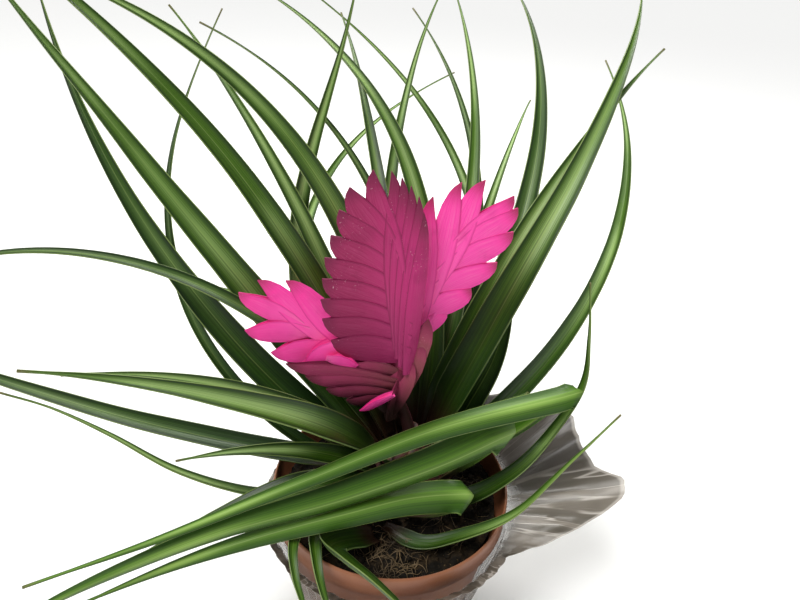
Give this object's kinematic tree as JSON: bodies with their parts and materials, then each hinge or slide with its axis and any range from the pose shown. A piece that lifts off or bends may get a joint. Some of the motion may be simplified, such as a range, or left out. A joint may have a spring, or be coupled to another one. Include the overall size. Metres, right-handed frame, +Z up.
{
  "type": "potted air plant",
  "caption": "Flowering air plant: a rosette of long arching leaves and a flat pink flower head, in a round nursery pot with a clear film sleeve.",
  "frame": {"origin": "the middle of the pot's flat underside, on the surface it rests on", "axes": "+Z up, the pot's axis; -Y is the front, the side the picture was taken from and the side the three flower spikes face; +X is to the right seen from the front"},
  "size_m": [0.4343, 0.3477, 0.3662],
  "materials": {
    "pot": "satin terracotta-coloured plastic",
    "soil": "rough, fibrous, almost black",
    "stem": "dry, dark red-brown",
    "leaf": "satin, with fine lengthwise veins",
    "leaf_folded": "satin, yellow-green along the ridges",
    "flower_stalk": "satin",
    "bract_main": "satin, dull mauve-pink",
    "bract_right": "satin, bright pink",
    "bract_left": "satin, bright pink",
    "film": "clear, glossy, crumpled"
  },
  "bodies": {
    "root": {"pot": "pot", "soil": "soil", "stem": "stem", "leaf_01": "leaf", "leaf_02": "leaf", "leaf_03": "leaf", "leaf_04": "leaf", "leaf_05": "leaf", "leaf_06": "leaf", "leaf_07": "leaf", "leaf_08": "leaf", "leaf_09": "leaf", "leaf_10": "leaf", "leaf_11": "leaf", "leaf_12": "leaf", "leaf_13": "leaf", "leaf_14": "leaf", "leaf_15": "leaf", "leaf_16": "leaf", "leaf_17": "leaf", "leaf_18": "leaf", "leaf_19": "leaf", "leaf_20": "leaf", "leaf_21": "leaf", "leaf_22": "leaf", "leaf_23": "leaf", "leaf_24": "leaf", "leaf_25": "leaf", "leaf_26": "leaf", "leaf_27": "leaf", "leaf_28": "leaf", "leaf_29": "leaf", "leaf_30": "leaf", "leaf_31": "leaf", "leaf_folded_1": "leaf_folded", "leaf_folded_2": "leaf_folded", "leaf_folded_3": "leaf_folded", "leaf_low_left": "leaf", "leaf_low_thin": "leaf", "leaf_curled_1": "leaf", "leaf_curled_2": "leaf", "leaf_hanging_1": "leaf", "leaf_hanging_2": "leaf", "leaf_hanging_3": "leaf", "flower_stalk": "flower_stalk", "spike_main": "bract_main", "spike_right": "bract_right", "spike_left": "bract_left", "film_sleeve": "film"}
  },
  "joints": []
}
